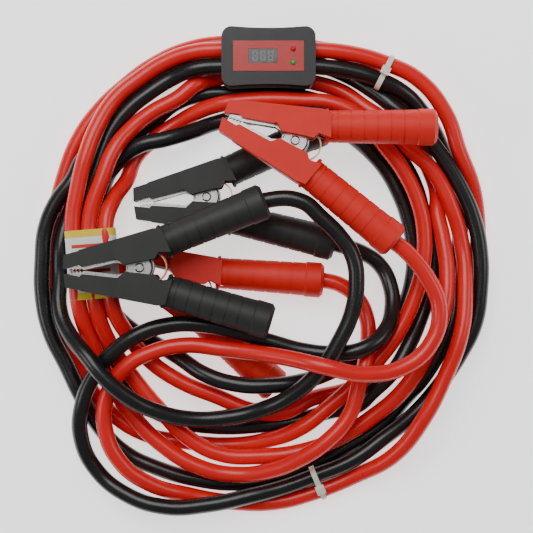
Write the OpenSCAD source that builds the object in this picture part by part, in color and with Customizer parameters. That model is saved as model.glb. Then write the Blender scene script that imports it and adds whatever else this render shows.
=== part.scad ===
// Heavy booster cable set: two cables, four spring clamps and an inline protector, coiled flat.

/* [Cable] */
// Outer diameter of both cables over their jackets
cable_d = 14.5; // [12:0.1:16]
// Gap between the cables of one layer and the next where they cross
layer_gap = 1; // [0.6:0.1:2]
// Sides of the cable's round section
cable_sides = 8; // [8:1:12]

/* [Clamp jaws] */
// Distance from the pivot to the metal tip
jaw_reach = 61; // [50:1:74]
// Length of metal that carries teeth
teeth_len = 12; // [9:1:14]
// Number of teeth on each jaw
teeth_count = 4; // [3:1:6]
// Depth of a tooth
tooth_depth = 1.6; // [1:0.1:2]
// Half height of the opening between the jaws, just in front of the pivot
eye_half = 5.5; // [4.5:0.1:6.5]
// Sheet thickness of the jaw plates
sheet_t = 1.5; // [1.2:0.1:1.8]
// Outer width of the wider jaw plate, measured along the rivet
plate_span = 17; // [15:0.5:20]
// Clearance between the two jaw plates, and between a plate and its grip
plate_clear = 0.3; // [0.2:0.05:0.5]
// Length of the jaw cover beyond the metal tip
cover_over = 5; // [3:0.5:7]
// Wall of the jaw cover outside the jaw plate
cover_wall = 2.2; // [1.6:0.1:3]

/* [Clamp grips] */
// Length of a grip's handle
grip_len = 97.5; // [85:0.5:110]
// Diameter of the handle where it starts
grip_d = 28; // [26:0.5:30]
// Diameter of the handle in front of its end collar
grip_end_d = 30.4; // [28:0.2:31]
// Diameter of the end collar
collar_d = 32; // [31:0.5:34]
// Length of the end collar
collar_len = 17; // [14:1:22]
// Number of grooves round the handle
groove_count = 7; // [5:1:9]
// Width of a groove
groove_w = 1; // [0.6:0.1:1.6]
// Depth of a groove
groove_depth = 0.6; // [0.3:0.1:1]
// Height of the finger stop above the handle's start
stop_h = 1.6; // [1.2:0.1:1.8]
// Angle of each handle from the clamp's centre line
grip_angle = 19.4; // [17:0.1:22]
// Clearance round the cable in the mouth of the grip
mouth_clear = 1.3; // [0.8:0.1:2]

/* [Pivot] */
// Radius of the rivet's shank
rivet_r = 3; // [2.5:0.1:3.5]
// Radius of the rivet's heads
rivet_head_r = 4.2; // [3.8:0.1:4.3]
// Running clearance between the rivet and the plates
rivet_clear = 0.05; // [0.02:0.01:0.1]
// Wire diameter of the torsion spring
spring_wire_d = 2.2; // [1.8:0.1:2.3]
// Radius of the spring coil at the middle of its wire
spring_r = 11.4; // [10.5:0.1:11.8]
// Turns of the spring
spring_turns = 4; // [3:1:4]

/* [Protector box] */
// Length of the case along the cables
case_w = 84; // [80:1:96]
// Height of the case across the cables
case_h = 55; // [52:1:64]
// Thickness of the case
case_t = 25; // [24:0.5:30]
// Wall of the case
case_wall = 2; // [1.6:0.1:2.4]
// Depth of the waist in each long side
case_waist = 2.5; // [1:0.1:4]
// Corner radius of the case
case_corner = 9; // [7:0.5:11]
// Distance between the two cables inside the case
cable_pitch = 15; // [14.8:0.1:18]
// Clearance round the cables in the case's end holes
gland_clear = 0.3; // [0.2:0.05:0.5]
// Length and height of the red face plate
face_size = [63, 27]; // [20:1:70]
// Thickness of the face plate
face_t = 1.2; // [0.8:0.1:1.6]
// Length and height of the display window
display_size = [25.5, 12.6]; // [8:0.1:30]
// Diameter of the indicator lamps
lamp_d = 4.5; // [3:0.1:5]
// Radius of the case screws' shanks
screw_r = 1.2; // [1:0.1:1.5]

/* [Ties and label] */
// Width and thickness of the cable ties' strap
tie_strap = [4.8, 1.3]; // [1:0.1:8]
// Edge lengths of the tie's locking head
tie_head = [7, 8, 5]; // [4:0.1:9]
// Length of the label sleeve along the cables
label_len = 62; // [50:1:70]
// Thickness of the label's paper
label_t = 0.4; // [0.3:0.05:0.6]

/* [Hidden] */
cable_r = cable_d / 2;
layer_rise = cable_d + layer_gap;
rear_z = collar_d / 2;
case_layer = 1.45;
cable_case_z = cable_r + case_layer * layer_rise;
case_z = cable_case_z - case_t / 2;
case_at = [18, 187.5];

// Each clamp: name, pivot, height, direction of its handles, side of the grip that the cable
// enters (1 left of that direction, -1 right of it) and colour of its grips
CLAMPS = [
    ["red_front", [41, 109], 63, -19.7, -1, "red"],
    ["black_front", [-94, -1], 59, 2.8, 1, "dimgray"],
    ["black_rear", [-38, 63], rear_z, 5.5, -1, "dimgray"],
    ["red_rear", [-56, -17], rear_z, -23.5, 1, "red"]
];
CLAMP_PARTS = ["fixed_grip", "moving_grip", "fixed_jaw_plate", "moving_jaw_plate", "rivet",
    "torsion_spring", "copper_braid", "crimp_lug"];
$fn = 48;

// Cable routes from clamp to clamp: position and the layer that the cable lies in, where layer 0
// is on the floor and each whole layer is one cable higher
RED_ROUTE = [
    [158, -12, 3.6], [167, -38, 3.6], [160, -66, 3.7], [136, -87, 3.9], [100, -93, 4.2], [65, -86, 4.4],
    [35, -80, 3.6], [5, -76, 2.8], [-25, -73, 2.3], [-55, -70, 2.2], [-85, -76, 2.2],
    [-110, -90, 2.2], [-126, -115, 2.1], [-128, -145, 2], [-115, -175, 1.8], [-90, -196, 1.2],
    [-55, -209, 0.3], [-15, -216, 0.2], [25, -216, 0.2], [60, -207, 0.2], [98, -191, 0.4],
    [131, -171, 1.2], [156, -137, 2], [175, -100, 2], [190, -60, 2], [195, -20, 1.5], [194, 15, 1],
    [185, 50, 1.1], [167, 86, 1.1], [145, 108, 1], [128, 129, 0.8], [104, 147, 0.4], [85, 161, 0],
    [60, 169, 0], [20, 175, 0], [-18, 175, 0], [-32, 172, 0.1], [-47, 166, 0.8], [-65, 152, 1],
    [-87, 140, 1], [-105, 125, 1.3], [-120, 105, 1.8], [-130, 80, 2], [-142, 40, 2], [-139, 2, 2],
    [-136, -36, 2], [-125, -70, 1.2], [-105, -100, 1], [-80, -130, 1], [-55, -155, 1], [-25, -170, 1],
    [10, -172, 1], [45, -168, 1], [80, -156, 1], [112, -136, 1.1], [141, -109, 1.5], [160, -76, 2],
    [174, -42, 1.9], [179, -8, 1.4], [176, 25, 1], [172, 48, 0.6], [172, 71, 0], [164, 93, 0],
    [152, 120, 0], [136, 151, 0], [116, 176, 0], [91, 193, 0], [60, 201, 0], [20, 205, 0],
    [-25, 205, 0], [-55, 200, 0], [-85, 187, 0], [-114, 166, 0], [-139, 142, 0], [-158, 114, 0],
    [-170, 82, 0], [-178, 48, 0], [-182, 10, 0], [-180, -28, 0], [-170, -65, 0], [-153, -100, 0],
    [-128, -133, 0], [-95, -154, 0], [-58, -161, 0], [-20, -164, 0], [15, -159, 0.4],
    [46, -147, 1], [74, -126, 1], [96, -107, 1], [116, -86, 1], [136, -59, 1], [150, -29, 1],
    [158, 2, 1], [159, 32, 1], [153, 60, 1], [140, 87, 1], [122, 111, 1], [102, 134, 1.3],
    [76, 147, 1.3], [45, 150, 1.2], [10, 151, 1.1], [-22, 148, 0.9], [-45, 142, 0.4],
    [-65, 132, 0], [-87, 117, 0], [-104, 100, 0], [-111, 80, 0.4], [-121, 61, 1.4],
    [-127, 40, 2], [-124, 2, 2], [-121, -36, 2], [-110, -60, 1.3], [-91, -84, 1], [-62, -104, 1],
    [-28, -118, 1], [6, -131, 1], [34, -132, 0.7], [58, -121, 0.2], [85, -115, 0], [115, -105, 0],
    [146, -90, 0], [172, -68, 0], [192, -44, 0], [205, -16, 0], [210, 15, 0], [210, 45, 0],
    [204, 75, 0.4], [191, 105, 0.9], [179, 138, 1], [155, 168, 1.1], [122, 184, 1.3],
    [92, 192, 1.4], [60, 195, 1.45], [20, 195, 1.45], [-25, 195, 1.45], [-50, 193, 1.4],
    [-75, 185, 1.2], [-99, 170, 1.1], [-120, 152, 1.3], [-135, 127, 1.7], [-145, 100, 2],
    [-152, 72, 2], [-157, 40, 2], [-154, 2, 2], [-151, -36, 2], [-141, -71, 1.2], [-125, -105, 1],
    [-105, -135, 1], [-80, -160, 1.1], [-45, -181, 1.2], [-10, -188, 1.2], [20, -183, 1.7],
    [45, -172, 2.2], [70, -155, 2.4], [90, -132, 2.3], [98, -108, 2.2], [104, -88, 2],
    [108, -67, 1.2], [107, -46, 0.8], [99, -29, 0.7], [84, -17, 0.6]
];
BLACK_ROUTE = [
    [105, 12, 0.5], [120, 1, 0.4], [129, -18, 0.6], [130, -37, 1], [122, -58, 1.9],
    [104, -72, 2.5], [80, -77, 2.4], [50, -75, 2.2], [20, -67, 2.2], [-10, -58, 2.2],
    [-40, -52, 2.2], [-70, -52, 2.3], [-97, -60, 2.4], [-120, -76, 2.3], [-137, -96, 2.1],
    [-149, -125, 1.9], [-151, -155, 1.3], [-139, -184, 0.8], [-112, -206, 1], [-75, -217, 1.3],
    [-35, -215, 1.2], [0, -208, 1.1], [30, -201, 0.8], [60, -190, 0.8], [94, -176, 0.8],
    [123, -156, 0.7], [151, -133, 0.9], [174, -106, 0.9], [192, -79, 1], [205, -52, 1],
    [210, -20, 1], [210, 12, 1], [204, 43, 1], [192, 72, 1], [173, 103, 1], [152, 128, 1],
    [131, 145, 1], [112, 161, 0.5], [89, 176, 0], [60, 186, 0], [20, 190, 0], [-25, 190, 0],
    [-55, 182, 0], [-82, 170, 0], [-105, 153, 0], [-125, 132, 0], [-141, 112, 0.3],
    [-152, 96, 0.8], [-160, 78, 1], [-174, 59, 1], [-184, 35, 1], [-187, 5, 1], [-187, -25, 1],
    [-180, -59, 1], [-165, -90, 1], [-152, -117, 1], [-138, -144, 0.5], [-115, -170, 0],
    [-85, -185, 0], [-50, -195, 0], [-10, -199, 0], [25, -194, 0], [58, -182, 0], [90, -165, 0],
    [122, -145, 0], [143, -121, 0.2], [160, -98, 1], [175, -72, 1], [185, -45, 0.9],
    [188, -15, 0.5], [193, 15, 0], [194, 45, 0], [188, 80, 0], [178, 107, 0], [168, 128, 0.1],
    [156, 144, 0.5], [141, 157, 1], [119, 168, 1.3], [92, 176, 1.4], [60, 180, 1.45],
    [20, 180, 1.45], [-25, 180, 1.45], [-48, 178, 1.4], [-70, 170, 1], [-92, 156, 1],
    [-108, 143, 1], [-122, 126, 1], [-131, 107, 1], [-138, 88, 1], [-145, 70, 1], [-149, 48, 1],
    [-150, 20, 1], [-145, -4, 1], [-135, -25, 1], [-121, -44, 0.7], [-105, -59, 0.3],
    [-85, -71, 0.2], [-64, -82, 0.9], [-38, -97, 1.8], [-10, -105, 2.1], [20, -106, 2.15],
    [46, -103, 1.9], [77, -95, 0.6], [100, -84, 0], [124, -66, 0], [141, -40, 0], [150, -12, 0],
    [151, 18, 0], [146, 45, 0], [137, 69, 0], [125, 90, 0], [109, 107, 0.3], [94, 118, 1],
    [80, 130, 2], [60, 136, 2.07], [43, 136, 1.8], [26, 136, 1.2], [8, 136, 0.5], [-12, 136, 0.1],
    [-32, 131, 0.2], [-51, 123, 0.7], [-75, 115, 1.2], [-99, 109, 1.2], [-121, 93, 0.7],
    [-134, 72, 0], [-139, 45, 0], [-140, 5, 0], [-139, -35, 0], [-132, -72, 0],
    [-117, -105, 0], [-93, -129, 0], [-63, -142, 0], [-30, -147, 0], [8, -146, 0],
    [42, -142, 0], [75, -133, 0], [98, -128, 0.3], [112, -114, 0.9], [131, -95, 1],
    [145, -73, 0.7], [157, -49, 0.1], [165, -25, 0], [170, 0, 0], [170, 22, 0], [161, 46, 0],
    [154, 71, 0], [142, 95, 0], [125, 115, 0], [106, 131, 0], [85, 143, 0], [60, 153, 0],
    [20, 159, 0], [-15, 159, 0], [-42, 158, 0], [-67, 150, 0], [-84, 137, 0], [-102, 124, 0],
    [-121, 109, 0], [-139, 93, 0], [-150, 76, 0], [-159, 60, 0.4], [-165, 42, 0.7],
    [-170, 20, 1], [-171, -10, 1], [-170, -39, 1.4], [-159, -61, 2.1], [-141, -80, 3],
    [-125, -99, 3.2], [-105, -116, 3], [-80, -129, 2.5], [-50, -136, 2.1], [-20, -135, 2],
    [10, -128, 2.2], [38, -114, 2.9], [64, -90, 3.3], [80, -65, 3.4], [91, -40, 3.4], [95, -15, 3.4],
    [92, 8, 3.4], [81, 26, 3.4], [64, 43, 3.4], [47, 57, 3.4]
];

// A route point's place, with its height worked out from its layer
function laid(p) = [p[0], p[1], cable_r + p[2] * layer_rise];
function unit(v) = v / norm(v);
function turned(v, a) = [v[0] * cos(a) - v[1] * sin(a), v[0] * sin(a) + v[1] * cos(a)];
function backwards(list) = [for (i = [len(list) - 1:-1:0]) list[i]];

// Start of the handle's axis, in the frame of a clamp whose handles point along X
grip_foot = [20, 21];
mouth_depth = 14;
// A point s along the handle's axis and off to its outer side, on side 1 of the clamp
function grip_point(s, off = 0) = grip_foot + s * [cos(grip_angle), sin(grip_angle)]
    + off * [-sin(grip_angle), cos(grip_angle)];
// The point s along the axis of the fixed grip of clamp c, where clamp c lies
function on_fixed_grip(c, s) =
    let (p = grip_point(s), q = turned([p[0], c[4] * p[1]], c[3]))
    [c[1][0] + q[0], c[1][1] + q[1], c[2]];
// The straight end of a cable inside the grip of clamp c, from the lug out to the mouth
function inside_grip(c) = [on_fixed_grip(c, grip_len - mouth_depth), on_fixed_grip(c, grip_len)];

red_front_lead = 12.5;
red_path = concat(inside_grip(CLAMPS[0]), [on_fixed_grip(CLAMPS[0], grip_len + red_front_lead)],
    [for (p = RED_ROUTE) laid(p)], backwards(inside_grip(CLAMPS[3])));
black_path = concat(inside_grip(CLAMPS[2]), [for (p = BLACK_ROUTE) laid(p)],
    backwards(inside_grip(CLAMPS[1])));

// Tube along a path, with one ring of corners square to the path at each of its points
function heading(path, i) = unit(path[min(i + 1, len(path) - 1)] - path[max(i - 1, 0)]);
function ring(p, t) =
    let (side = unit(cross(t, [0, 0, 1])), up = cross(side, t))
    [for (k = [0:cable_sides - 1]) let (a = (k + 0.5) * 360 / cable_sides)
        p + cable_r * (cos(a) * side + sin(a) * up)];
module tube(path) {
    n = cable_sides;
    last = len(path) - 1;
    corners = [for (i = [0:last]) each ring(path[i], heading(path, i))];
    walls = [for (i = [0:last - 1]) for (k = [0:n - 1]) let (a = i * n + k, b = i * n + (k + 1) % n)
        each [[a, b, b + n], [a, b + n, a + n]]];
    ends = [[for (k = [n - 1:-1:0]) k], [for (k = [0:n - 1]) last * n + k]];
    polyhedron(corners, concat(walls, ends), convexity = 10);
}

module red_cable() { color("red") tube(red_path); }
module black_cable() { color("black") tube(black_path); }

// Clamps. Every part of a clamp is drawn with the pivot at the origin and the handles along X,
// and a part of one half is drawn on side 1, which is the side where Y is positive.
module place(c) { translate([c[1][0], c[1][1], c[2]]) rotate(c[3]) children(); }
module half(side) { if (side > 0) children(); else mirror([0, 1, 0]) children(); }
module along_grip() { translate(grip_foot) rotate(grip_angle) rotate([0, 90, 0]) children(); }

tooth_gap = 0.4;
tail_end = 45;
tail_half = 4;
lobe_r = 10;
fixed_half = plate_span / 2;
moving_half = fixed_half - sheet_t - plate_clear;
bite_back = -jaw_reach + teeth_len;

// Outer edge of a jaw plate from the tip to the tail, moved out by g
function plate_outer(g) = [
    [-jaw_reach - g, 6 + g], [bite_back, 9 + g], [-20, 15.5 + g], [-8, 16.5 + g],
    grip_point(0, tail_half + g), grip_point(tail_end + g, tail_half + g)
];
tooth_pitch = teeth_len / teeth_count;
teeth = [for (i = [0:teeth_count - 1]) each [
    [-jaw_reach + i * tooth_pitch, tooth_gap],
    [-jaw_reach + (i + 0.5) * tooth_pitch, tooth_gap + tooth_depth]]];
plate_inner = concat(teeth, [
    [bite_back, tooth_gap], [bite_back + 3, tooth_gap + 0.4], [-20, eye_half],
    [-15, eye_half - 1.5], [-9, 0.5], [5, 6], grip_point(2, -tail_half),
    grip_point(tail_end, -tail_half)
]);

module plate_flange(z) {
    translate([0, 0, z]) linear_extrude(sheet_t) difference() {
        union() {
            polygon(concat(plate_inner, backwards(plate_outer(0))));
            circle(lobe_r);
        }
        circle(rivet_r + rivet_clear);
    }
}

// Jaw plate folded from sheet: two flanges, the web between them and the toothed end
module jaw_plate(half_span) {
    inner = half_span - sheet_t;
    color("silver") union() {
        plate_flange(inner);
        plate_flange(-half_span);
        translate([0, 0, -inner]) linear_extrude(2 * inner) union() {
            polygon(concat(plate_outer(0), backwards(plate_outer(-sheet_t))));
            polygon(concat(teeth, [[bite_back, tooth_gap], [bite_back, 9], [-jaw_reach, 6]]));
        }
    }
}

cover_half = fixed_half + plate_clear + cover_wall;
tip_x = -jaw_reach - cover_over;
cap_x = tip_x + 14;
cheek_x = -22;
cover_outline = [
    [tip_x, 2.2], [tip_x + 0.8, 14.2], [cap_x, 17.2], [cap_x, 17.8], [13, 33.6], grip_point(4, 12),
    grip_point(4, -12), [17, 12], [14, 6.8], [-8, 3.6], [-13, 2.6], [-19.5, 8], [cap_x + 2, 3.2],
    [cap_x, 4.6], [cap_x, 5.2]
];
cheek_inset = 0.5;
cheek_outline = [
    [cheek_x, 24.4], [12.6, 32.8], grip_point(5, 11), grip_point(5, -11), [17.4, 12.6],
    [14, 6.8 + cheek_inset], [-8, 3.6 + cheek_inset], [-13, 2.6 + cheek_inset],
    [-19.4, 8 + cheek_inset], [cheek_x, 7.6 + cheek_inset]
];

groove_pitch = (grip_len - collar_len) / groove_count;
stop_r = grip_d / 2 + stop_h;
stop_len = 3.2;
collar_r = collar_d / 2;
// Radius of the handle at distance s from its start, without the grooves
function grip_radius(s) = (grip_d + (grip_end_d - grip_d) * s / (grip_len - collar_len)) / 2;
// Half section of the handle: finger stop, grooves and end collar
handle_section = concat(
    [[0, 0], [stop_r - 1, 0], [stop_r, 1], [stop_r, stop_len], [grip_radius(stop_len), stop_len]],
    [for (i = [1:groove_count - 1]) let (s = i * groove_pitch) each [
        [grip_radius(s), s - groove_w], [grip_radius(s) - groove_depth, s - groove_w],
        [grip_radius(s) - groove_depth, s], [grip_radius(s), s]]],
    [[grip_end_d / 2, grip_len - collar_len], [collar_r, grip_len - collar_len + 1],
        [collar_r, grip_len - 3], [collar_r - 3, grip_len], [0, grip_len]]
);

// Room for the jaw plate, the spring and the rivet inside a grip
module plate_room() {
    g = plate_clear;
    linear_extrude(2 * (fixed_half + g), center = true) union() {
        polygon(concat([[-jaw_reach - g, -5], [grip_foot[0], -5], [24, 9],
            grip_point(tail_end + g, -tail_half - g)], backwards(plate_outer(g))));
        circle(spring_r + spring_wire_d / 2 + 0.6);
    }
}

// Moulded sheath: jaw cover and handle in one piece, with a bore for the cable if it carries one
module grip(colour, cabled) {
    color(colour) difference() {
        union() {
            linear_extrude(2 * cover_half, center = true) polygon(cover_outline);
            linear_extrude(collar_d, center = true) polygon(cheek_outline);
            along_grip() rotate_extrude() polygon(handle_section);
        }
        plate_room();
        if (cabled) along_grip() {
            translate([0, 0, tail_end]) cylinder(r = lug_r + 0.4, h = grip_len - tail_end);
            translate([0, 0, grip_len - mouth_depth])
                cylinder(r = cable_r + mouth_clear, h = mouth_depth + 1);
        }
    }
}

lug_r = 5.2;
// Crimped copper barrel between the plate's tail and the cable's end
module crimp_lug() {
    lug_len = grip_len - mouth_depth - tail_end;
    color("peru") along_grip() translate([0, 0, tail_end]) difference() {
        cylinder(r = lug_r, h = lug_len);
        translate([0, 0, 8]) cylinder(r = lug_r - 1.4, h = lug_len);
    }
}

module rivet() {
    head_h = 1.6;
    color("silver") union() {
        cylinder(r = rivet_r, h = plate_span + 0.2, center = true);
        for (a = [0, 180]) rotate([a, 0, 0]) translate([0, 0, fixed_half + 0.05])
            cylinder(r1 = rivet_head_r, r2 = rivet_head_r - 1.2, h = head_h);
    }
}

// Coil drawn as closed turns that touch, with a leg along each plate's tail
module torsion_spring() {
    turn_pitch = spring_wire_d * 0.95;
    leg_len = 22;
    color("darkgray") union() {
        rotate_extrude() for (i = [0:spring_turns - 1])
            translate([spring_r, (i - (spring_turns - 1) / 2) * turn_pitch])
                circle(spring_wire_d / 2, $fn = 24);
        for (s = [-1, 1]) translate([0, s * spring_r, s * turn_pitch])
            rotate([0, 90, s * grip_angle]) cylinder(r = spring_wire_d / 2 - 0.05, h = leg_len, $fn = 24);
    }
}

// Flat copper braid that carries the current from one plate to the other
module copper_braid() {
    braid_r = 13;
    color("peru") translate([10, 0, 0]) rotate(-72) rotate_extrude(angle = 144)
        translate([braid_r - 0.6, -4.8]) square([1.2, 9.6]);
}

// Protector box, drawn with the middle of the case at the origin of X and Y
function case_side(x) = case_h / 2 - case_waist * (1 - pow(2 * x / case_w, 2));
corner_x = case_w / 2 - case_corner;
corner_y = case_side(corner_x) - case_corner;
// A quarter of the outline, inset by m: the waisted long side and one round corner
function case_quarter(m) = concat(
    [for (i = [0:5]) let (x = corner_x * i / 6) [x, case_side(x) - m]],
    [for (a = [90:-15:0]) [corner_x + (case_corner - m) * cos(a),
        corner_y + (case_corner - m) * sin(a)]]);
function case_outline(m) = let (q = case_quarter(m), last = len(q) - 1) concat(
    q, [for (i = [last:-1:0]) [q[i][0], -q[i][1]]], [for (i = [1:last]) [-q[i][0], -q[i][1]]],
    [for (i = [last:-1:1]) [-q[i][0], q[i][1]]]);
module case_block(m, z0, z1) {
    translate([0, 0, z0]) linear_extrude(z1 - z0) polygon(case_outline(m));
}

case_top = case_z + case_t;
boss_r = 3.2;
boss_at = [corner_x + 1.2, corner_y + 1.2];
face_sink = 0.6;
display_at = [-5, 0];
lamp_at = [22, 6];
board_t = 1.6;
board_z = cable_case_z + cable_r + 0.5;
ledge = 1.5;
fit = 0.15;

module at_bosses() {
    for (x = [-1, 1]) for (y = [-1, 1]) translate([x * boss_at[0], y * boss_at[1], 0]) children();
}
module cable_holes() {
    for (s = [-1, 1]) translate([-case_w, s * cable_pitch / 2, cable_case_z])
        rotate([0, 90, 0]) cylinder(r = cable_r + gland_clear, h = 2 * case_w);
}

module back_shell() {
    color("black") difference() {
        union() {
            difference() {
                case_block(0, case_z, cable_case_z);
                case_block(case_wall, case_z + case_wall, cable_case_z + 1);
            }
            at_bosses() translate([0, 0, case_z]) cylinder(r = boss_r, h = cable_case_z - case_z);
        }
        cable_holes();
        at_bosses() translate([0, 0, case_z - 1]) cylinder(r = screw_r + 0.1, h = case_t);
        at_bosses() translate([0, 0, case_z - 1]) cylinder(r = 2.4, h = 2.6);
    }
}

module front_shell() {
    color("black") difference() {
        union() {
            difference() {
                case_block(0, cable_case_z, case_top);
                case_block(case_wall, cable_case_z - 1, case_top - case_wall);
            }
            at_bosses() translate([0, 0, cable_case_z])
                cylinder(r = boss_r, h = case_top - cable_case_z);
            for (x = [-26, 26]) translate([x, 0, board_z + board_t])
                cylinder(r = 2, h = case_top - face_sink - 0.5 - board_z - board_t);
        }
        cable_holes();
        at_bosses() translate([0, 0, cable_case_z - 1]) cylinder(r = screw_r + 0.05, h = 8);
        translate([-face_size[0] / 2 - fit, -face_size[1] / 2 - fit, case_top - face_sink])
            cube([face_size[0] + 2 * fit, face_size[1] + 2 * fit, face_sink + 1]);
        translate([display_at[0] - display_size[0] / 2 + ledge, -display_size[1] / 2 + ledge,
            case_top - case_wall - 1])
            cube([display_size[0] - 2 * ledge, display_size[1] - 2 * ledge, case_wall + 2]);
        for (s = [-1, 1]) translate([lamp_at[0], s * lamp_at[1], board_z + board_t])
            cylinder(r = lamp_d / 2 + fit, h = case_t);
    }
}

module face_plate() {
    color("red") translate([0, 0, case_top - face_sink]) difference() {
        translate([-face_size[0] / 2, -face_size[1] / 2, 0])
            cube([face_size[0], face_size[1], face_t]);
        translate([display_at[0] - display_size[0] / 2 - fit, -display_size[1] / 2 - fit, -1])
            cube([display_size[0] + 2 * fit, display_size[1] + 2 * fit, face_t + 2]);
        for (s = [-1, 1]) translate([lamp_at[0], s * lamp_at[1], -1])
            cylinder(r = lamp_d / 2 + fit, h = face_t + 2);
    }
}

window_top = case_top - face_sink + face_t - 0.2;
module display_window() {
    color("black") translate([display_at[0] - display_size[0] / 2, -display_size[1] / 2,
        case_top - face_sink]) cube([display_size[0], display_size[1], face_t - 0.2]);
}

// Three digits of seven bars on the window, without any reading
module display_digits() {
    digit_w = 4.6;
    digit_h = 8.4;
    bar = 0.9;
    color("gray") for (i = [-1:1]) translate([display_at[0] + i * 7, 0, window_top]) {
        for (y = [-1, 0, 1]) translate([-digit_w / 2 + bar, y * (digit_h - bar) / 2 - bar / 2, 0])
            cube([digit_w - 2 * bar, bar, 0.2]);
        for (x = [0, 1]) for (y = [-1, 1])
            translate([-digit_w / 2 + x * (digit_w - bar), y > 0 ? bar / 2 + 0.1 : -digit_h / 2, 0])
                cube([bar, digit_h / 2 - bar / 2 - 0.1, 0.2]);
    }
}

module lamp(side, colour) {
    dome_z = window_top + 0.4;
    color(colour) translate([lamp_at[0], side * lamp_at[1], 0]) union() {
        translate([0, 0, board_z + board_t])
            cylinder(r = lamp_d / 2, h = dome_z - board_z - board_t);
        translate([0, 0, dome_z]) intersection() {
            sphere(lamp_d / 2);
            cylinder(r = lamp_d, h = lamp_d);
        }
    }
}

module circuit_board() {
    color("green") translate([-30, -17, board_z]) cube([60, 34, board_t]);
}

module surge_suppressor() {
    body_r = 3.4;
    color("dimgray") translate([-5, 18.9, board_z - body_r]) rotate([0, 90, 0])
        cylinder(r = body_r, h = 10);
}

module case_screws() {
    color("silver") at_bosses() translate([0, 0, case_z]) union() {
        cylinder(r = 2.2, h = 1.6);
        cylinder(r = screw_r, h = cable_case_z - case_z + 6);
    }
}

// Ties and label: bands round cables that lie side by side, from the one at a to the one at b
module across(a, b) {
    d = b - a;
    translate((a + b) / 2) rotate(atan2(d[1], d[0]))
        rotate([0, -atan2(d[2], norm([d[0], d[1]])), 0]) children();
}
module capsule(span, r) {
    for (s = [-1, 1]) translate([s * span / 2, 0]) circle(r);
    square([span, 2 * r], center = true);
}
module band(span, width, gap, t) {
    rotate([90, 0, 0]) linear_extrude(width, center = true) difference() {
        capsule(span, cable_r + gap + t);
        capsule(span, cable_r + gap);
    }
}
label_gap = 0.3;
tie_gap = 0.6;

module cable_tie(a, b) {
    top = cable_r + tie_gap + tie_strap[1];
    color("ivory") across(a, b) union() {
        band(norm(b - a), tie_strap[0], tie_gap, tie_strap[1]);
        translate([-tie_head[0] / 2, -tie_head[1] / 2, top - 0.5]) cube(tie_head);
    }
}

upper_tie_at = [[119, 168, 1.3], [126, 182, 1.3]];
lower_tie_at = [[66, -204.5, 0.23], [60, -190, 0.8]];
label_at = [[-154, 2, 2], [-124, 2, 2]];
module upper_tie() { cable_tie(laid(upper_tie_at[0]), laid(upper_tie_at[1])); }
module lower_tie() { cable_tie(laid(lower_tie_at[0]), laid(lower_tie_at[1])); }
module label_sleeve() {
    lean = 4.5;
    a = laid(label_at[0]);
    b = laid(label_at[1]);
    color("white") translate((a + b) / 2) rotate(lean)
        band(norm(b - a), label_len, label_gap, label_t);
}

// Every node, drawn where it belongs
for (c = CLAMPS) {
    place(c) half(c[4]) grip(c[5], true);
    place(c) half(-c[4]) grip(c[5], false);
    place(c) half(c[4]) jaw_plate(fixed_half);
    place(c) half(-c[4]) jaw_plate(moving_half);
    place(c) rivet();
    place(c) torsion_spring();
    place(c) copper_braid();
    place(c) half(c[4]) crimp_lug();
}
red_cable();
black_cable();
translate(case_at) back_shell();
translate(case_at) front_shell();
translate(case_at) face_plate();
translate(case_at) display_window();
translate(case_at) display_digits();
translate(case_at) lamp(1, "red");  // red_lamp
translate(case_at) lamp(-1, "green");  // green_lamp
translate(case_at) circuit_board();
translate(case_at) surge_suppressor();
translate(case_at) case_screws();
upper_tie();
lower_tie();
label_sleeve();
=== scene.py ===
import math

import bpy
from mathutils import Matrix, Vector


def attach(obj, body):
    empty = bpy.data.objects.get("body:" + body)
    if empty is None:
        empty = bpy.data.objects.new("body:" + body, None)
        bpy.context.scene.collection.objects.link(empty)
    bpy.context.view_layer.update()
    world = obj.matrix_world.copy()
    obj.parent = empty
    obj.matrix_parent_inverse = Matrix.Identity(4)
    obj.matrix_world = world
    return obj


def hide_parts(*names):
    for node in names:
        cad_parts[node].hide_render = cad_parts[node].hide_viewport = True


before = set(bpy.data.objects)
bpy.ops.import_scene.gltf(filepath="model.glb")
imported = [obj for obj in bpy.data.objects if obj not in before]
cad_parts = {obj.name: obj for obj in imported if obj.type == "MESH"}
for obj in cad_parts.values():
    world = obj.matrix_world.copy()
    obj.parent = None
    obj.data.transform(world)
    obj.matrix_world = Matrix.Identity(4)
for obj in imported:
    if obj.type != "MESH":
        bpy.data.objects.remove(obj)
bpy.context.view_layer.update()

# Camera: hangs over the coiled set and looks straight down at it.
camera_data = bpy.data.cameras.new("camera")
camera_data.lens = 80.3
camera_data.sensor_width = 36
camera = bpy.data.objects.new("camera", camera_data)
camera.location = (0.0162, 0, 1.1)
bpy.context.scene.collection.objects.link(camera)
bpy.context.scene.camera = camera


# Cables: one heavy copper conductor each, in a glossy soft PVC jacket, from clamp to clamp
# through the protector box. Each route is a list of X, Y and layer, in millimetres, where
# layer 0 lies on the floor and each whole layer is one cable higher.
CABLE_D = 14.5
LAYER_RISE = 15.5
GRIP_LEN = 97.5
MOUTH_DEPTH = 14
GRIP_ANGLE = math.radians(19.4)
HANDLE_X = 20
HANDLE_Y = 21
LEAD_OUT = 12.5
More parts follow.
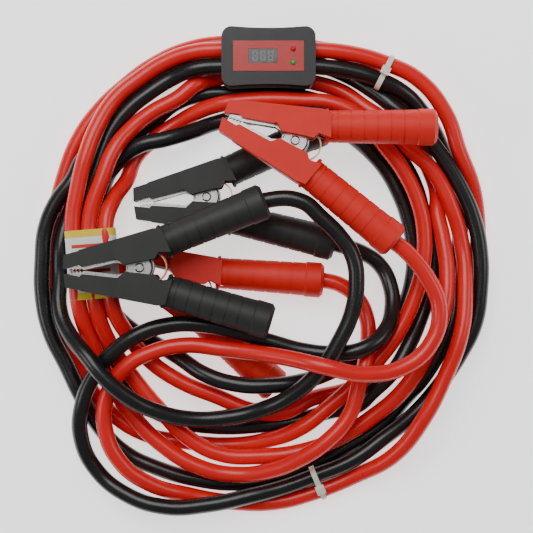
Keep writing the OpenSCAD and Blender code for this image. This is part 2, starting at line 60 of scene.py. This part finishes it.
# Each clamp: pivot, height, direction of its handles and the side that the cable enters
CLAMPS = {
    "red_front": ((41, 109), 63, math.radians(-19.7), -1),
    "black_front": ((-94, -1), 59, math.radians(2.8), 1),
    "black_rear": ((-38, 63), 16, math.radians(5.5), -1),
    "red_rear": ((-56, -17), 16, math.radians(-23.5), 1),
}
RED_ROUTE = [
    [158, -12, 3.6], [167, -38, 3.6], [160, -66, 3.7], [136, -87, 3.9], [100, -93, 4.2], [65, -86, 4.4],
    [35, -80, 3.6], [5, -76, 2.8], [-25, -73, 2.3], [-55, -70, 2.2], [-85, -76, 2.2],
    [-110, -90, 2.2], [-126, -115, 2.1], [-128, -145, 2], [-115, -175, 1.8], [-90, -196, 1.2],
    [-55, -209, 0.3], [-15, -216, 0.2], [25, -216, 0.2], [60, -207, 0.2], [98, -191, 0.4],
    [131, -171, 1.2], [156, -137, 2], [175, -100, 2], [190, -60, 2], [195, -20, 1.5], [194, 15, 1],
    [185, 50, 1.1], [167, 86, 1.1], [145, 108, 1], [128, 129, 0.8], [104, 147, 0.4], [85, 161, 0],
    [60, 169, 0], [20, 175, 0], [-18, 175, 0], [-32, 172, 0.1], [-47, 166, 0.8], [-65, 152, 1],
    [-87, 140, 1], [-105, 125, 1.3], [-120, 105, 1.8], [-130, 80, 2], [-142, 40, 2], [-139, 2, 2],
    [-136, -36, 2], [-125, -70, 1.2], [-105, -100, 1], [-80, -130, 1], [-55, -155, 1], [-25, -170, 1],
    [10, -172, 1], [45, -168, 1], [80, -156, 1], [112, -136, 1.1], [141, -109, 1.5], [160, -76, 2],
    [174, -42, 1.9], [179, -8, 1.4], [176, 25, 1], [172, 48, 0.6], [172, 71, 0], [164, 93, 0],
    [152, 120, 0], [136, 151, 0], [116, 176, 0], [91, 193, 0], [60, 201, 0], [20, 205, 0],
    [-25, 205, 0], [-55, 200, 0], [-85, 187, 0], [-114, 166, 0], [-139, 142, 0], [-158, 114, 0],
    [-170, 82, 0], [-178, 48, 0], [-182, 10, 0], [-180, -28, 0], [-170, -65, 0], [-153, -100, 0],
    [-128, -133, 0], [-95, -154, 0], [-58, -161, 0], [-20, -164, 0], [15, -159, 0.4],
    [46, -147, 1], [74, -126, 1], [96, -107, 1], [116, -86, 1], [136, -59, 1], [150, -29, 1],
    [158, 2, 1], [159, 32, 1], [153, 60, 1], [140, 87, 1], [122, 111, 1], [102, 134, 1.3],
    [76, 147, 1.3], [45, 150, 1.2], [10, 151, 1.1], [-22, 148, 0.9], [-45, 142, 0.4],
    [-65, 132, 0], [-87, 117, 0], [-104, 100, 0], [-111, 80, 0.4], [-121, 61, 1.4],
    [-127, 40, 2], [-124, 2, 2], [-121, -36, 2], [-110, -60, 1.3], [-91, -84, 1], [-62, -104, 1],
    [-28, -118, 1], [6, -131, 1], [34, -132, 0.7], [58, -121, 0.2], [85, -115, 0], [115, -105, 0],
    [146, -90, 0], [172, -68, 0], [192, -44, 0], [205, -16, 0], [210, 15, 0], [210, 45, 0],
    [204, 75, 0.4], [191, 105, 0.9], [179, 138, 1], [155, 168, 1.1], [122, 184, 1.3],
    [92, 192, 1.4], [60, 195, 1.45], [20, 195, 1.45], [-25, 195, 1.45], [-50, 193, 1.4],
    [-75, 185, 1.2], [-99, 170, 1.1], [-120, 152, 1.3], [-135, 127, 1.7], [-145, 100, 2],
    [-152, 72, 2], [-157, 40, 2], [-154, 2, 2], [-151, -36, 2], [-141, -71, 1.2], [-125, -105, 1],
    [-105, -135, 1], [-80, -160, 1.1], [-45, -181, 1.2], [-10, -188, 1.2], [20, -183, 1.7],
    [45, -172, 2.2], [70, -155, 2.4], [90, -132, 2.3], [98, -108, 2.2], [104, -88, 2],
    [108, -67, 1.2], [107, -46, 0.8], [99, -29, 0.7], [84, -17, 0.6]
]
BLACK_ROUTE = [
    [105, 12, 0.5], [120, 1, 0.4], [129, -18, 0.6], [130, -37, 1], [122, -58, 1.9],
    [104, -72, 2.5], [80, -77, 2.4], [50, -75, 2.2], [20, -67, 2.2], [-10, -58, 2.2],
    [-40, -52, 2.2], [-70, -52, 2.3], [-97, -60, 2.4], [-120, -76, 2.3], [-137, -96, 2.1],
    [-149, -125, 1.9], [-151, -155, 1.3], [-139, -184, 0.8], [-112, -206, 1], [-75, -217, 1.3],
    [-35, -215, 1.2], [0, -208, 1.1], [30, -201, 0.8], [60, -190, 0.8], [94, -176, 0.8],
    [123, -156, 0.7], [151, -133, 0.9], [174, -106, 0.9], [192, -79, 1], [205, -52, 1],
    [210, -20, 1], [210, 12, 1], [204, 43, 1], [192, 72, 1], [173, 103, 1], [152, 128, 1],
    [131, 145, 1], [112, 161, 0.5], [89, 176, 0], [60, 186, 0], [20, 190, 0], [-25, 190, 0],
    [-55, 182, 0], [-82, 170, 0], [-105, 153, 0], [-125, 132, 0], [-141, 112, 0.3],
    [-152, 96, 0.8], [-160, 78, 1], [-174, 59, 1], [-184, 35, 1], [-187, 5, 1], [-187, -25, 1],
    [-180, -59, 1], [-165, -90, 1], [-152, -117, 1], [-138, -144, 0.5], [-115, -170, 0],
    [-85, -185, 0], [-50, -195, 0], [-10, -199, 0], [25, -194, 0], [58, -182, 0], [90, -165, 0],
    [122, -145, 0], [143, -121, 0.2], [160, -98, 1], [175, -72, 1], [185, -45, 0.9],
    [188, -15, 0.5], [193, 15, 0], [194, 45, 0], [188, 80, 0], [178, 107, 0], [168, 128, 0.1],
    [156, 144, 0.5], [141, 157, 1], [119, 168, 1.3], [92, 176, 1.4], [60, 180, 1.45],
    [20, 180, 1.45], [-25, 180, 1.45], [-48, 178, 1.4], [-70, 170, 1], [-92, 156, 1],
    [-108, 143, 1], [-122, 126, 1], [-131, 107, 1], [-138, 88, 1], [-145, 70, 1], [-149, 48, 1],
    [-150, 20, 1], [-145, -4, 1], [-135, -25, 1], [-121, -44, 0.7], [-105, -59, 0.3],
    [-85, -71, 0.2], [-64, -82, 0.9], [-38, -97, 1.8], [-10, -105, 2.1], [20, -106, 2.15],
    [46, -103, 1.9], [77, -95, 0.6], [100, -84, 0], [124, -66, 0], [141, -40, 0], [150, -12, 0],
    [151, 18, 0], [146, 45, 0], [137, 69, 0], [125, 90, 0], [109, 107, 0.3], [94, 118, 1],
    [80, 130, 2], [60, 136, 2.07], [43, 136, 1.8], [26, 136, 1.2], [8, 136, 0.5], [-12, 136, 0.1],
    [-32, 131, 0.2], [-51, 123, 0.7], [-75, 115, 1.2], [-99, 109, 1.2], [-121, 93, 0.7],
    [-134, 72, 0], [-139, 45, 0], [-140, 5, 0], [-139, -35, 0], [-132, -72, 0],
    [-117, -105, 0], [-93, -129, 0], [-63, -142, 0], [-30, -147, 0], [8, -146, 0],
    [42, -142, 0], [75, -133, 0], [98, -128, 0.3], [112, -114, 0.9], [131, -95, 1],
    [145, -73, 0.7], [157, -49, 0.1], [165, -25, 0], [170, 0, 0], [170, 22, 0], [161, 46, 0],
    [154, 71, 0], [142, 95, 0], [125, 115, 0], [106, 131, 0], [85, 143, 0], [60, 153, 0],
    [20, 159, 0], [-15, 159, 0], [-42, 158, 0], [-67, 150, 0], [-84, 137, 0], [-102, 124, 0],
    [-121, 109, 0], [-139, 93, 0], [-150, 76, 0], [-159, 60, 0.4], [-165, 42, 0.7],
    [-170, 20, 1], [-171, -10, 1], [-170, -39, 1.4], [-159, -61, 2.1], [-141, -80, 3],
    [-125, -99, 3.2], [-105, -116, 3], [-80, -129, 2.5], [-50, -136, 2.1], [-20, -135, 2],
    [10, -128, 2.2], [38, -114, 2.9], [64, -90, 3.3], [80, -65, 3.4], [91, -40, 3.4], [95, -15, 3.4],
    [92, 8, 3.4], [81, 26, 3.4], [64, 43, 3.4], [47, 57, 3.4]
]


def from_clamp(clamp, x, y, z=0):
    """A point given from a clamp's pivot, with X along its handles and the fixed arm at +Y."""
    pivot, height, turn, side = CLAMPS[clamp]
    return Matrix.Rotation(turn, 3, "Z") @ Vector((x, side * y, side * z)) + Vector((*pivot, height))


def grip_axis(clamp, along):
    """The point that far along the axis of a clamp's fixed grip, in millimetres."""
    return from_clamp(clamp, HANDLE_X + along * math.cos(GRIP_ANGLE),
                      HANDLE_Y + along * math.sin(GRIP_ANGLE))


def laid(x, y, layer):
    return Vector((x, y, CABLE_D / 2 + layer * LAYER_RISE))


def cable_line(first, lead, route, last):
    """The whole centreline in metres, from inside the first grip to inside the last one."""
    ends = (GRIP_LEN - MOUTH_DEPTH, GRIP_LEN)
    start = [grip_axis(first, s) for s in ends + lead]
    finish = [grip_axis(last, s) for s in reversed(ends)]
    return [p / 1000 for p in [*start, *(laid(*p) for p in route), *finish]]


def cable(name, line, node):
    curve = bpy.data.curves.new(name, "CURVE")
    curve.dimensions = "3D"
    curve.bevel_depth = 1
    curve.bevel_resolution = 5
    curve.resolution_u = 8
    curve.use_fill_caps = True
    spline = curve.splines.new("BEZIER")
    spline.bezier_points.add(len(line) - 1)
    for knot, place in zip(spline.bezier_points, line):
        knot.co = place
        knot.radius = CABLE_D / 2000
        knot.handle_left_type = knot.handle_right_type = "AUTO"
    piece = bpy.data.objects.new(name, curve)
    bpy.context.scene.collection.objects.link(piece)
    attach(piece, "set")
    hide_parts(node)
    return piece


red_line = cable_line("red_front", (GRIP_LEN + LEAD_OUT,), RED_ROUTE, "red_rear")
red_cable = cable("red_cable_run", red_line, "red_cable")
black_line = cable_line("black_rear", (), BLACK_ROUTE, "black_front")
black_cable = cable("black_cable_run", black_line, "black_cable")


class Wire:
    """A shader socket: sums, products and comparisons of wires add Math nodes."""

    def __init__(self, finish, socket):
        self.finish = finish
        self.socket = socket

    def maths(self, operation, *values):
        return self.finish.node("ShaderNodeMath", {"operation": operation},
                                dict(enumerate(values)))

    def __add__(self, other):
        return self.maths("ADD", self, other)

    def __mul__(self, other):
        return self.maths("MULTIPLY", self, other)

    def __abs__(self):
        return self.maths("ABSOLUTE", self)

    def __gt__(self, other):
        return self.maths("GREATER_THAN", self, other)

    def __lt__(self, other):
        return self.maths("LESS_THAN", self, other)

    def __mod__(self, other):
        return self.maths("FLOORED_MODULO", self, other)

    __radd__ = __add__
    __rmul__ = __mul__


class Finish:
    """One material with its shader, and the nodes that feed it."""

    def __init__(self, name, **constants):
        self.material = bpy.data.materials.new(name)
        self.material.use_nodes = True
        self.tree = self.material.node_tree
        self.shader = self.tree.nodes["Principled BSDF"]
        for socket, value in constants.items():
            self.shader.inputs[socket.replace("_", " ")].default_value = value

    def node(self, kind, settings, sockets, out=0):
        made = self.tree.nodes.new(kind)
        for name, value in settings.items():
            setattr(made, name, value)
        for key, value in sockets.items():
            if isinstance(value, Wire):
                self.tree.links.new(value.socket, made.inputs[key])
            else:
                made.inputs[key].default_value = value
        return Wire(self, made.outputs[out])

    def feed(self, socket, wire):
        self.tree.links.new(wire.socket, self.shader.inputs[socket])

    def place(self, location=(0, 0, 0), turn=0.0, scale=(1, 1, 1)):
        spot = self.node("ShaderNodeTexCoord", {}, {}, "Object")
        return self.node("ShaderNodeMapping", {"vector_type": "TEXTURE"},
                         {"Vector": spot, "Location": location, "Rotation": (0, 0, turn),
                          "Scale": scale})

    def noise(self, scale, detail=2.0, place=None):
        return self.node("ShaderNodeTexNoise", {}, {"Vector": place or self.place(), "Scale": scale,
                                                    "Detail": detail})

    def blend(self, mask, first, second):
        return self.node("ShaderNodeMix", {"data_type": "RGBA"}, {0: mask, 6: first, 7: second}, 2)

    def bump(self, height, distance, strength=1.0):
        self.feed("Normal", self.node("ShaderNodeBump", {}, {"Height": height, "Distance": distance,
                                                             "Strength": strength}))

    def wear(self, colour, amount, scale=60.0):
        """Base colour that drifts a little towards a lighter or darker tone over the surface."""
        darker = tuple(c * (1 - amount) for c in colour[:3]) + (1.0,)
        lighter = tuple(min(1.0, c * (1 + amount) + 0.01) for c in colour[:3]) + (1.0,)
        self.feed("Base Color", self.blend(self.noise(scale, 3.0), darker, lighter))


def finish_with(finish, *pieces):
    for piece in pieces:
        piece.data.materials.clear()
        piece.data.materials.append(finish.material)


def node_of(name):
    return bpy.data.objects[name]


def jacket(name, colour, roughness):
    made = Finish(name, Specular_IOR_Level=0.5)
    made.wear(colour, 0.08, 40.0)
    made.feed("Roughness", made.noise(150.0) * 0.12 + (roughness - 0.06))
    made.bump(made.noise(900.0, 3.0), 0.00008, 0.6)
    return made


finish_with(jacket("red jacket", (0.76, 0.006, 0.004), 0.3), red_cable)
finish_with(jacket("black jacket", (0.004, 0.004, 0.0045), 0.28), black_cable)

# Floor: a pale studio sheet that the set lies on.
bpy.ops.mesh.primitive_plane_add(size=6)
floor = bpy.context.object
floor.name = "floor"
sheet = Finish("studio sheet", Base_Color=(0.92, 0.92, 0.92, 1), Roughness=0.95,
               Emission_Color=(1, 1, 1, 1), Emission_Strength=1.25)
finish_with(sheet, floor)


# Lights: a large soft box overhead and two weaker ones at the sides.
def soft_box(name, place, size, power):
    light = bpy.data.lights.new(name, "AREA")
    light.size = size
    light.energy = power
    lamp = bpy.data.objects.new(name, light)
    lamp.location = place
    lamp.rotation_euler = (-Vector(place)).to_track_quat("-Z", "Y").to_euler()
    bpy.context.scene.collection.objects.link(lamp)


soft_box("top_light", (-0.3, 0.9, 1.6), 1.2, 22)
soft_box("left_light", (-1.5, -0.2, 1.1), 0.7, 6)
soft_box("right_light", (1.4, 0.3, 1.1), 0.7, 5)

world = bpy.data.worlds.new("studio")
world.use_nodes = True
world.node_tree.nodes["Background"].inputs["Color"].default_value = (1, 1, 1, 1)
world.node_tree.nodes["Background"].inputs["Strength"].default_value = 0.22
bpy.context.scene.world = world


# Grips: the PVC sheaths moulded over the clamp's arms, matt, with a fine spark-eroded grain.
def sheath(name, colour):
    made = Finish(name, Specular_IOR_Level=0.4)
    made.wear(colour, 0.07, 35.0)
    made.feed("Roughness", made.noise(220.0) * 0.12 + 0.46)
    made.bump(made.noise(1400.0, 4.0), 0.00012, 0.7)
    return made


for colour, finish in (("red", sheath("red sheath", (0.74, 0.012, 0.004))),
                       ("black", sheath("black sheath", (0.02, 0.02, 0.019)))):
    for end in ("front", "rear"):
        for half in ("fixed", "moving"):
            finish_with(finish, node_of(f"{colour}_{end}_{half}_grip"))


# Jaw plates, rivets and springs: steel sheet and wire with a nickel or zinc skin.
def metal(name, colour, roughness, grain):
    made = Finish(name, Metallic=1.0)
    made.wear(colour, 0.06, 90.0)
    lines = made.noise(grain, 3.0, made.place(scale=(1, 8, 8)))
    made.feed("Roughness", lines * 0.2 + (roughness - 0.1))
    made.bump(lines, 0.00006, 0.5)
    return made


nickel = metal("nickel plate", (0.72, 0.7, 0.66), 0.3, 900.0)
zinc = metal("zinc plate", (0.6, 0.6, 0.62), 0.34, 1200.0)
copper = metal("copper", (0.8, 0.36, 0.2), 0.36, 1500.0)
for clamp in CLAMPS:
    finish_with(nickel, node_of(f"{clamp}_fixed_jaw_plate"), node_of(f"{clamp}_moving_jaw_plate"))
    finish_with(zinc, node_of(f"{clamp}_rivet"))
    finish_with(copper, node_of(f"{clamp}_copper_braid"), node_of(f"{clamp}_crimp_lug"))
finish_with(zinc, node_of("case_screws"))


# Springs: a close-wound helix of wire round each rivet, with one leg along the fixed arm. The
# other leg rides on the lever, with an arc that laps into the coil and stays in it as it turns.
SPRING_R = 11.4
WIRE_R = 1.1
LAP_WIRE_R = 1.08
TURN_PITCH = 2.25
TURNS = 3.5
LEG_LEN = 10
COIL_FROM = 90
COIL_TO = COIL_FROM + 360 * TURNS
LAP_FROM = COIL_TO - 30
COIL_CUT = 6
DEGREES_PER_STEP = 15


def on_coil(clamp, angle):
    rise = TURN_PITCH * ((COIL_FROM + COIL_TO) / 2 - angle) / 360
    a = math.radians(angle)
    return from_clamp(clamp, SPRING_R * math.cos(a), SPRING_R * math.sin(a), rise)


def arc(clamp, start, stop):
    steps = math.ceil((stop - start) / DEGREES_PER_STEP)
    return [on_coil(clamp, start + (stop - start) * i / steps) for i in range(steps + 1)]


def leg_end(clamp, arm):
    """The end of the leg on the fixed arm, where arm is 1, or on the lever, where it is -1."""
    rise = arm * TURN_PITCH * TURNS / 2
    return from_clamp(clamp, LEG_LEN * math.cos(GRIP_ANGLE),
                      arm * (SPRING_R + LEG_LEN * math.sin(GRIP_ANGLE)), rise)


def wire(name, line, radius, body):
    curve = bpy.data.curves.new(name, "CURVE")
    curve.dimensions = "3D"
    curve.bevel_depth = 1
    curve.bevel_resolution = 3
    curve.use_fill_caps = True
    spline = curve.splines.new("POLY")
    spline.points.add(len(line) - 1)
    for knot, place in zip(spline.points, line):
        knot.co = (*place / 1000, 1)
        knot.radius = radius / 1000
    piece = bpy.data.objects.new(name, curve)
    bpy.context.scene.collection.objects.link(piece)
    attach(piece, body)
    finish_with(zinc, piece)
    return piece


for clamp in CLAMPS:
    coil_line = [leg_end(clamp, 1)] + arc(clamp, COIL_FROM, COIL_TO - COIL_CUT)
    coil = wire(f"{clamp}_spring_coil", coil_line, WIRE_R, "set")
    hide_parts(f"{clamp}_torsion_spring")
    lever_line = arc(clamp, LAP_FROM, COIL_TO) + [leg_end(clamp, -1)]
    wire(f"{clamp}_spring_leg", lever_line, LAP_WIRE_R, f"{clamp}_lever")


# Protector box: two black moulded shells, a red face plate, a smoked window and two lamps.
def moulded(name, colour, roughness, grain=1100.0):
    made = Finish(name, Specular_IOR_Level=0.45)
    made.wear(colour, 0.1, 70.0)
    made.feed("Roughness", made.noise(300.0) * 0.1 + (roughness - 0.05))
    made.bump(made.noise(grain, 3.0), 0.0001, 0.5)
    return made


finish_with(moulded("case plastic", (0.008, 0.008, 0.009), 0.42),
            node_of("back_shell"), node_of("front_shell"))
finish_with(moulded("face plastic", (0.45, 0.006, 0.004), 0.32, 500.0), node_of("face_plate"))
finish_with(moulded("smoked window", (0.006, 0.006, 0.008), 0.1, 200.0), node_of("display_window"))
finish_with(moulded("display bars", (0.2, 0.21, 0.2), 0.4), node_of("display_digits"))
finish_with(moulded("red lens", (0.6, 0.01, 0.01), 0.12, 300.0), node_of("red_lamp"))
finish_with(moulded("green lens", (0.02, 0.4, 0.08), 0.12, 300.0), node_of("green_lamp"))
finish_with(moulded("board laminate", (0.02, 0.2, 0.07), 0.4), node_of("circuit_board"))
finish_with(moulded("suppressor epoxy", (0.03, 0.03, 0.03), 0.5), node_of("surge_suppressor"))

# Cable ties: natural nylon straps with a square locking head.
nylon = moulded("natural nylon", (0.8, 0.78, 0.7), 0.38, 700.0)
nylon.shader.inputs["Subsurface Weight"].default_value = 0.15
nylon.shader.inputs["Subsurface Radius"].default_value = (0.002, 0.002, 0.0015)
finish_with(nylon, node_of("upper_tie"), node_of("lower_tie"))

# Label sleeve: a white paper wrap with a yellow border at each end and plain red bars between
# them, which stand in for its print. Distances are in metres from the middle of the sleeve.
LABEL_AT = (-0.139, 0.002, 0)
LABEL_LEAN = math.radians(4.5)
BORDER_FROM = 0.0245
BARS_END = 0.019
BAR_PITCH = 0.0075
BAR_WIDTH = 0.0032
BAR_HALF = 0.0165
label = Finish("printed paper", Roughness=0.62, Specular_IOR_Level=0.3)
across, along = (label.node("ShaderNodeSeparateXYZ", {}, {"Vector": label.place(LABEL_AT, LABEL_LEAN)},
                            axis) for axis in ("X", "Y"))
border = abs(along) > BORDER_FROM
bars = ((along % BAR_PITCH) < BAR_WIDTH) * (abs(across) < BAR_HALF) * (abs(along) < BARS_END)
paper = label.blend(bars, (0.86, 0.86, 0.82, 1), (0.7, 0.05, 0.03, 1))
label.feed("Base Color", label.blend(border, paper, (0.85, 0.62, 0.05, 1)))
label.bump(label.noise(500.0, 4.0), 0.00006, 0.5)
finish_with(label, node_of("label_sleeve"))

bpy.context.view_layer.update()
